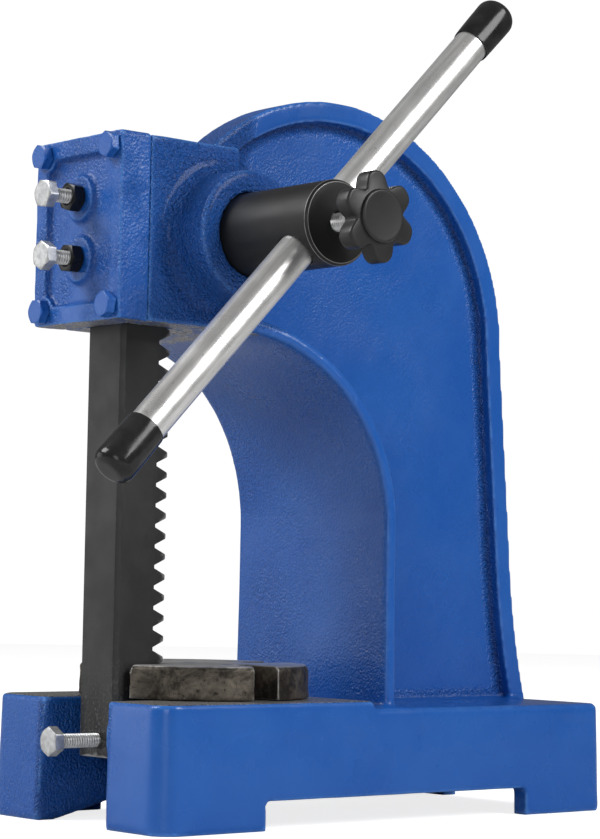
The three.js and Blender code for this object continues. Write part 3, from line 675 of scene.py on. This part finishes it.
def nut_piece(name, node, material, flats, bore):
    """Hexagon nut along -Y, chamfered on both faces and at both ends of its bore."""
    low, high, middle = corners(node)
    centre = Vector((middle.x, 0, middle.z))
    back, face = -high.y, -low.y
    chamfer = 0.5 * MM
    outside = hex_rings(flats, back, face, hex_turn(node), bevel_low=True)[1:5]
    bore_steps = [(bore + chamfer, face), (bore, face - chamfer), (bore, back + chamfer)]
    rings = [[(bore + chamfer, back)] * ROUND_SIDES] + outside
    rings += [[step] * ROUND_SIDES for step in bore_steps]
    points, faces = swept(rings, (0, -1, 0), centre, closed=True)
    mesh = mesh_from(name, points, faces)
    shade(mesh, 35)
    mark_edges(mesh, 0.5 * MM, 1)
    return new_piece(name, mesh, material, "frame", node)


# ---------- ram, shaft, lever and knob ----------

def ram_piece(material):
    """Square bar with its cut rack, edges eased and long faces split so that values can vary on them."""
    mesh = frame["nodes"]["ram"].data.copy()
    work = bmesh.new()
    work.from_mesh(mesh)
    bmesh.ops.remove_doubles(work, verts=work.verts, dist=1e-6)
    bmesh.ops.dissolve_limit(
        work, angle_limit=math.radians(1.5), verts=work.verts, edges=work.edges,
        use_dissolve_boundaries=False)
    work.to_mesh(mesh)
    work.free()
    mesh = with_modifiers(mesh, ("BEVEL", {
        "width": 0.32 * MM, "segments": 3, "limit_method": "ANGLE",
        "angle_limit": math.radians(28), "harden_normals": False, "use_clamp_overlap": True}))
    work = bmesh.new()
    work.from_mesh(mesh)
    bmesh.ops.triangulate(work, faces=[f for f in work.faces if len(f.verts) > 4])
    longest_edge = 9 * MM
    for _ in range(3):
        long_edges = [e for e in work.edges if e.calc_length() > longest_edge]
        bmesh.ops.subdivide_edges(work, edges=long_edges, cuts=1)
        bmesh.ops.triangulate(work, faces=[f for f in work.faces if len(f.verts) > 4])
    work.to_mesh(mesh)
    work.free()
    shade(mesh, 35)
    above_nose = points_of(mesh)[:, 2] - RAM_LOW.z
    set_value(mesh, "scale", soft_step(above_nose, 42 * MM, 12 * MM))
    mark_edges(mesh, 0.5 * MM, 0)
    return new_piece("square_ram", mesh, material, "ram", "ram")


def cutters_for_shaft():
    """Holes for the lever and its stud, as one mesh of separate closed solids."""
    work = bmesh.new()
    clearance = 0.3 * MM
    hole = BAR_RADIUS + clearance
    flare = hole + 0.9 * MM
    flare_end, flare_start = SHAFT_RADIUS - 0.2 * MM, SHAFT_RADIUS - 2.0 * MM
    reach = SHAFT_RADIUS + 6 * MM
    profile = [
        (flare + 2 * MM, -reach), (flare, -flare_end), (hole, -flare_start),
        (hole, flare_start), (flare, flare_end), (flare + 2 * MM, reach),
    ]
    work.from_mesh(lathe("bar_hole", profile, LEVER_AXIS, BAR_CENTRE, 64))
    stud_low, stud_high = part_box("knob_stud")
    stud = (stud_high.z - stud_low.z) / 2 + clearance
    tapped = [(stud, BAR_CENTRE.x), (stud, SHAFT_HIGH.x - 0.6 * MM), (stud + 1.6 * MM, SHAFT_HIGH.x + MM)]
    work.from_mesh(lathe("stud_hole", tapped, (1, 0, 0), SHAFT_CENTRE, 40))
    mesh = bpy.data.meshes.new("cutters")
    work.to_mesh(mesh)
    work.free()
    return mesh


PINION_TEETH = 11
MODULE = 2.8 * MM
PRESSURE_ANGLE = math.radians(25)
BACKLASH = 0.44 * MM
RACK_PHASE = 3.25 * MM
ROOT_RADIUS = 11.7 * MM
TOOTH_HALF_WIDTH = 13.1 * MM


def involute(angle):
    return math.tan(angle) - angle


def tooth_gaps():
    """The grooves between the pinion's teeth, each an involute-sided prism along X."""
    pitch_radius = MODULE * PINION_TEETH / 2
    base_radius = pitch_radius * math.cos(PRESSURE_ANGLE)

    def tooth_half(radius):
        angle = math.acos(min(1, base_radius / max(radius, base_radius)))
        return (HALF_TURN / (2 * PINION_TEETH) + involute(PRESSURE_ANGLE) - involute(angle)
                - BACKLASH / (4 * pitch_radius))

    radii = np.concatenate([[ROOT_RADIUS], np.linspace(base_radius, SHAFT_RADIUS + MM, 7)])
    flank = [(r, HALF_TURN / PINION_TEETH - tooth_half(r)) for r in radii]
    outline = [(r, -half) for r, half in flank] + [(r, half) for r, half in reversed(flank)]
    points, faces = [], []
    for tooth in range(PINION_TEETH):
        middle = HALF_TURN - RACK_PHASE / pitch_radius + 2 * HALF_TURN * tooth / PINION_TEETH
        start = len(points)
        for x in (-TOOTH_HALF_WIDTH, TOOTH_HALF_WIDTH):
            for radius, half in outline:
                points.append((
                    RAM_MID.x + x,
                    SHAFT_CENTRE.y + radius * math.cos(middle + half),
                    SHAFT_CENTRE.z + radius * math.sin(middle + half)))
        count = len(outline)
        for i in range(count):
            j = (i + 1) % count
            faces.append((start + i, start + j, start + count + j, start + count + i))
        faces.append(tuple(start + i for i in reversed(range(count))))
        faces.append(tuple(start + count + i for i in range(count)))
    return mesh_from("tooth_gaps", points, faces)


def shaft_piece(material):
    """Turned bar with the lever's hole, the stud's hole and the pinion's teeth cut from it."""
    left, right = SHAFT_LOW.x, SHAFT_HIGH.x
    bevel = 1.1 * MM
    profile = fillet([
        (SHAFT_RADIUS - bevel - 3 * MM, left), (SHAFT_RADIUS - bevel, left), (SHAFT_RADIUS, left + bevel),
        (SHAFT_RADIUS, right - bevel), (SHAFT_RADIUS - bevel, right), (SHAFT_RADIUS - bevel - 3 * MM, right),
    ], 0.3 * MM)
    body = lathe("shaft_body", profile, (1, 0, 0), SHAFT_CENTRE, 120)
    cutters = []
    for mesh in (cutters_for_shaft(), tooth_gaps()):
        cutter = bpy.data.objects.new("cutter", mesh)
        bpy.context.scene.collection.objects.link(cutter)
        cutters.append(cutter)
    mesh = with_modifiers(body, *[
        ("BOOLEAN", {"operation": "DIFFERENCE", "solver": "EXACT", "object": c}) for c in cutters])
    for cutter in cutters:
        bpy.data.objects.remove(cutter)
    shade(mesh, 30)
    points = points_of(mesh)
    away = np.hypot(points[:, 1] - SHAFT_CENTRE.y, points[:, 2] - SHAFT_CENTRE.z)
    outer = np.hypot(points[:, 0] - (right - bevel), away - SHAFT_RADIUS)
    inner = np.hypot(points[:, 0] - right, away - (SHAFT_RADIUS - bevel))
    set_value(mesh, "edge", 0.9 * soft_step(np.minimum(outer, inner), 0.22 * MM, 0.12 * MM))
    return new_piece("pinion_bar", mesh, material, "pinion", "pinion_shaft")


def node_span(node):
    """How far a node on the lever reaches along the lever's own line."""
    points = points_of(frame["nodes"][node].data)
    reach = (points - np.array(BAR_CENTRE)) @ np.array(LEVER_AXIS)
    return float(reach.min()), float(reach.max())


def bar_piece(material):
    """The lever's bar, bevelled at both ends."""
    low, high = node_span("handle_bar")
    bevel = 0.8 * MM
    straight = high - low - 2 * bevel
    steps = 24
    profile = [(BAR_RADIUS - bevel, low), (BAR_RADIUS, low + bevel)]
    profile += [(BAR_RADIUS, low + bevel + straight * step / steps) for step in range(1, steps)]
    profile += [(BAR_RADIUS, high - bevel), (BAR_RADIUS - bevel, high)]
    mesh = lathe("bar", profile, LEVER_AXIS, BAR_CENTRE)
    shade(mesh)
    return new_piece("lever_bar", mesh, material, "lever", "handle_bar")


def quarter(steps=6):
    """Pairs (run, rise) from 0 to 1 round a quarter circle that starts steep."""
    for step in range(steps + 1):
        angle = HALF_TURN / 2 * step / steps
        yield 1 - math.cos(angle), math.sin(angle)


def cap_piece(name, node, sign, material):
    """Dipped cap: thin rolled mouth, slightly swollen, domed end."""
    low, high = node_span(node)
    mouth, end = (low, high) if sign > 0 else (-high, -low)
    outer, neck, bore, centre_hole = 8.8 * MM, 8.42 * MM, 7.9 * MM, 0.6 * MM
    rounded = 4.6 * MM
    floor, lip_end = end - 3.6 * MM, mouth + 1.4 * MM
    profile = [(centre_hole, floor), (bore - 0.6 * MM, floor), (bore, floor - 0.6 * MM)]
    profile += [(bore, mouth + 0.25 * MM), (bore + 0.12 * MM, mouth), (bore + 0.40 * MM, mouth)]
    profile += [(neck - 0.06 * MM, mouth + 0.35 * MM), (neck, lip_end)]
    for share in (0.25, 0.5, 0.75, 1.0):
        swell = math.sin(share * HALF_TURN / 2)
        profile.append((neck + (outer - neck) * swell, lip_end + (end - rounded - lip_end) * share))
    for run, rise in list(quarter(8))[1:]:
        profile.append((outer - rounded * run, end - rounded * (1 - rise)))
    profile += [(outer - rounded - 2.2 * MM, end), (centre_hole, end)]
    mesh = lathe(name, profile, LEVER_AXIS * sign, BAR_CENTRE)
    points, normals = points_of(mesh), normals_of(mesh)
    reach = np.linalg.norm(np.cross(points - np.array(BAR_CENTRE), np.array(LEVER_AXIS)), axis=1)
    outside = soft_step(reach, 8.1 * MM, 8.3 * MM)
    dents = np.abs(waves(points, 14 * MM, 21)) * 0.07 * MM * outside
    set_points(mesh, points - normals * dents[:, None])
    shade(mesh, 50)
    return new_piece(name, mesh, material, "lever", node)


KNOB_LOBES = 6
KNOB_MEAN = 15.9 * MM
KNOB_WAVE = 2.9 * MM
KNOB_EDGE = 1.3 * MM
KNOB_SIDES = KNOB_LOBES * 28
KNOB_BUTTON_HEIGHT = 1.7 * MM
KNOB_BODY_THICKNESS = 7.9 * MM
KNOB_BUTTON_EDGE = 0.9
LOBE_FULLNESS = 0.42


def knob_turn():
    """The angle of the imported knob's first lobe, read from its own outline."""
    packed = points_of(frame["nodes"]["clamp_knob"].data) - np.array(SHAFT_CENTRE)
    angles = np.arctan2(packed[:, 2], packed[:, 1])
    reach = np.hypot(packed[:, 1], packed[:, 2])
    outer = reach > KNOB_MEAN - KNOB_WAVE - 0.2 * MM
    pull = (reach[outer] - KNOB_MEAN) * np.exp(1j * KNOB_LOBES * angles[outer])
    return float(np.angle(pull.sum())) / KNOB_LOBES


def knob_piece(material):
    """Six-lobed moulded knob with a slim hub behind and a low round button in front."""
    low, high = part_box("clamp_knob")
    back, front = low.x, high.x
    body_front = front - KNOB_BUTTON_HEIGHT
    body_back = body_front - KNOB_BODY_THICKNESS
    turn = knob_turn()
    _, first, second = basis((1, 0, 0))

    def lobed(inset, x):
        line = []
        for i in range(KNOB_SIDES):
            angle = 2 * HALF_TURN * i / KNOB_SIDES
            across = first * math.cos(angle) + second * math.sin(angle)
            bulge = math.cos(KNOB_LOBES * (math.atan2(across.z, across.y) - turn))
            bulge += LOBE_FULLNESS * (1 - bulge * bulge)
            line.append((KNOB_MEAN + KNOB_WAVE * bulge - inset, x))
        return line

    def circle(radius, x):
        """A ring whose radius is given in millimetres."""
        return [(radius * MM, x)] * KNOB_SIDES

    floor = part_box("knob_stud")[1].x + 0.3 * MM
    rings = [
        circle(0.5, floor), circle(4.3, floor), circle(4.3, back + 0.5 * MM), circle(4.8, back),
        circle(6.5, back), circle(7.0, back + 0.5 * MM), circle(8.2, body_back - 0.5 * MM),
        circle(9.2, body_back), lobed(KNOB_EDGE + 0.5 * MM, body_back),
    ]
    for run, rise in quarter():
        rings.append(lobed(KNOB_EDGE * (1 - rise), body_back + KNOB_EDGE * run))
    for run, rise in quarter():
        rings.append(lobed(KNOB_EDGE * run, body_front - KNOB_EDGE * (1 - rise)))
    rings += [circle(11.45, body_front + 0.03 * MM), circle(11.1, body_front + 0.2 * MM),
              circle(11.0, body_front + 0.5 * MM)]
    for run, rise in quarter(5):
        rings.append(circle(11.0 - KNOB_BUTTON_EDGE * run, front - KNOB_BUTTON_EDGE * MM * (1 - rise)))
    rings += [circle(9.4, front - 0.05 * MM), circle(7.0, front - 0.22 * MM),
              circle(0.5, front - 0.30 * MM)]
    points, faces = swept(rings, (1, 0, 0), SHAFT_CENTRE)
    mesh = mesh_from("knob", points, faces)
    shade(mesh, 40)
    mark_edges(mesh, 1.2 * MM, 1)
    return new_piece("star_knob", mesh, material, "knob", "clamp_knob")


STUD_PITCH = 1.25 * MM
STUD_THREAD_DEPTH = 0.62 * MM


def stud_piece(material):
    """Threaded stud that joins the knob to the shaft."""
    low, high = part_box("knob_stud")
    radius = (high.z - low.z) / 2
    rings = [[(radius * 0.72, low.x)] * THREAD_SIDES]
    rings += thread_rings(
        radius, low.x + 0.9 * MM, high.x - 0.6 * MM, STUD_PITCH, STUD_THREAD_DEPTH)
    rings += [[(radius * 0.82, high.x)] * THREAD_SIDES]
    points, faces = swept(rings, (1, 0, 0), SHAFT_CENTRE)
    mesh = mesh_from("stud", points, faces)
    shade(mesh, 60)
    mark_edges(mesh, 0.4 * MM, 0)
    return new_piece("clamp_stud", mesh, material, "stud", "knob_stud")


# ---------- anvil plate ----------

VOXEL_PLATE = 0.6 * MM


def plate_piece(material):
    """Notched plate: rough cast at the side, machined on top."""
    mesh = remeshed("anvil_plate", VOXEL_PLATE, 1)
    points, normals = points_of(mesh), normals_of(mesh)
    flat = soft_step(np.abs(normals[:, 2]), 0.75, 0.95)
    rough = waves(points, 9 * MM, 31, 3)
    moved = points + normals * ((rough - 0.6) * 0.22 * MM * (1 - flat))[:, None]
    set_points(mesh, np.clip(moved, np.array(PLATE_LOW), np.array(PLATE_HIGH)))
    set_value(mesh, "machined", soft_step(normals[:, 2], 0.6, 0.9))
    mark_edges(mesh, 1.4 * MM)
    return new_piece("round_plate", mesh, material, "anvil", "anvil_plate")


# ---------- stage ----------

CAMERA_PLACE = Vector((0.84765, -0.73621, 0.1034))
CAMERA_AZIMUTH, CAMERA_PITCH, CAMERA_ROLL = (math.radians(v) for v in (49.427, 3.713, -1.073))
CAMERA_LENS = 109.06
CAMERA_SENSOR = 36
ROOM_LIGHT = 0.16
ROOM_SEEN = 1.02
FLOOR_GLOW = 0.80
FLOOR_RADIUS = 3.0
STAGE_MIDDLE = (0, 0, 0.18)


def make_camera():
    """A level camera turned to its azimuth, then pitched up, then rolled."""
    data = bpy.data.cameras.new("camera")
    data.lens = CAMERA_LENS
    data.sensor_width = CAMERA_SENSOR
    data.clip_start, data.clip_end = 0.05, 50
    camera = bpy.data.objects.new("camera", data)
    bpy.context.scene.collection.objects.link(camera)
    flat = Vector((-math.sin(CAMERA_AZIMUTH), math.cos(CAMERA_AZIMUTH), 0))
    ahead = flat * math.cos(CAMERA_PITCH) + Vector((0, 0, math.sin(CAMERA_PITCH)))
    right = Vector((math.cos(CAMERA_AZIMUTH), math.sin(CAMERA_AZIMUTH), 0))
    up = right.cross(ahead)
    turned_right = right * math.cos(CAMERA_ROLL) - up * math.sin(CAMERA_ROLL)
    turned_up = up * math.cos(CAMERA_ROLL) + right * math.sin(CAMERA_ROLL)
    turn = Matrix((turned_right, turned_up, -ahead)).transposed()
    camera.matrix_world = Matrix.Translation(CAMERA_PLACE) @ turn.to_4x4()
    bpy.context.scene.camera = camera


def soft_box(name, place, width, height, power):
    """A rectangular lamp aimed at the middle of the press."""
    data = bpy.data.lights.new(name, "AREA")
    data.shape = "RECTANGLE"
    data.size, data.size_y = width, height
    data.energy = power
    lamp = bpy.data.objects.new(name, data)
    bpy.context.scene.collection.objects.link(lamp)
    lamp.location = place
    lamp.rotation_mode = "QUATERNION"
    lamp.rotation_quaternion = (Vector(STAGE_MIDDLE) - Vector(place)).to_track_quat("-Z", "Y")


def make_stage():
    """White room and floor for the camera only, so that they don't wash out the press, and four lamps."""
    world = bpy.data.worlds.new("studio")
    world.use_nodes = True
    background = world.node_tree.nodes["Background"]
    background.inputs["Color"].default_value = (1.0, 1.0, 1.0, 1.0)
    seen = world.node_tree.nodes.new("ShaderNodeLightPath").outputs["Is Camera Ray"]
    strength = world.node_tree.nodes.new("ShaderNodeMapRange")
    strength.inputs["To Min"].default_value = ROOM_LIGHT
    strength.inputs["To Max"].default_value = ROOM_SEEN
    world.node_tree.links.new(seen, strength.inputs["Value"])
    world.node_tree.links.new(strength.outputs["Result"], background.inputs["Strength"])
    bpy.context.scene.world = world
    bpy.context.scene.view_settings.view_transform = "Standard"
    mesh = lathe("floor", [(FLOOR_RADIUS, -MM), (FLOOR_RADIUS, 0.0)], (0, 0, 1), Vector((0, 0, 0)), 64)
    p = Paint("floor_paper")
    p.bump(p.noise(400, 3.0), 0.05 * MM, 0.2)
    tint = p.mix(p.spread(p.noise(3.0), 0.3, 0.7), grey(0.64), grey(0.67))
    p.shader.inputs["Emission Color"].default_value = (1, 1, 1, 1)
    seen = p.add("ShaderNodeLightPath").outputs["Is Camera Ray"]
    p.link(p.math("MULTIPLY", seen, FLOOR_GLOW), p.shader.inputs["Emission Strength"])
    mesh.materials.append(p.finish(tint, 0.85, specular=0.1))
    floor = bpy.data.objects.new("floor", mesh)
    bpy.context.scene.collection.objects.link(floor)
    soft_box("key", (-0.75, -1.25, 1.35), 0.9, 0.9, 26)
    soft_box("side", (1.45, 0.55, 1.15), 0.9, 0.9, 25)
    soft_box("front", (1.3, -1.4, 0.5), 0.7, 0.7, 5)
    soft_box("sheen", (-1.35, -1.15, 0.30), 1.0, 0.8, 3.6)


# ---------- assembly ----------

make_camera()
make_stage()

BLUE = enamel()
BLACK = black_oxide("black_oxide", shade=0.011)
RAM_BLACK = black_oxide("ram_black", shade=0.024, coarse=0.30)
NUT_BLACK = black_oxide("nut_black", shade=0.010, gloss=0.22)
ZINC = zinc()

# Quarter-inch screws for the gib and the tool clamp.
SCREW = {"flats": 11.1 * MM, "head": 4.5 * MM, "radius": 3.175 * MM, "pitch": 1.27 * MM}
COVER_BOLT = {"flats": 10 * MM, "head": 4 * MM, "radius": 3 * MM, "pitch": 1.0 * MM}
NUT_BORE = 3.475 * MM

cast_frame(BLUE)
cast_cover(BLUE)
for place in ("upper_left", "upper_right", "lower_left", "lower_right"):
    screw_piece(f"painted_bolt_{place}", f"cover_bolt_{place}", "frame", BLUE, "blue_enamel",
                **COVER_BOLT, painted=True)
for place in ("upper", "lower"):
    screw_piece(f"set_screw_{place}", f"gib_screw_{place}", f"gib_screw_{place}", ZINC, "zinc", **SCREW)
    nut_piece(f"lock_nut_{place}", f"gib_lock_nut_{place}", NUT_BLACK, SCREW["flats"], NUT_BORE)
screw_piece("tool_screw", "tool_clamp_screw", "clamp_screw", ZINC, "zinc", **SCREW)
ram_piece(RAM_BLACK)
shaft_piece(BLACK)
bar_piece(bright_steel())
VINYL = vinyl()
cap_piece("vinyl_cap_upper", "handle_cap_upper", 1, VINYL)
cap_piece("vinyl_cap_lower", "handle_cap_lower", -1, VINYL)
knob_piece(plastic())
stud_piece(ZINC)
plate_piece(bare_iron())

for node in ("gib_strip", "anvil_pin"):
    for material_slot in frame["nodes"][node].material_slots:
        material_slot.material = BLACK
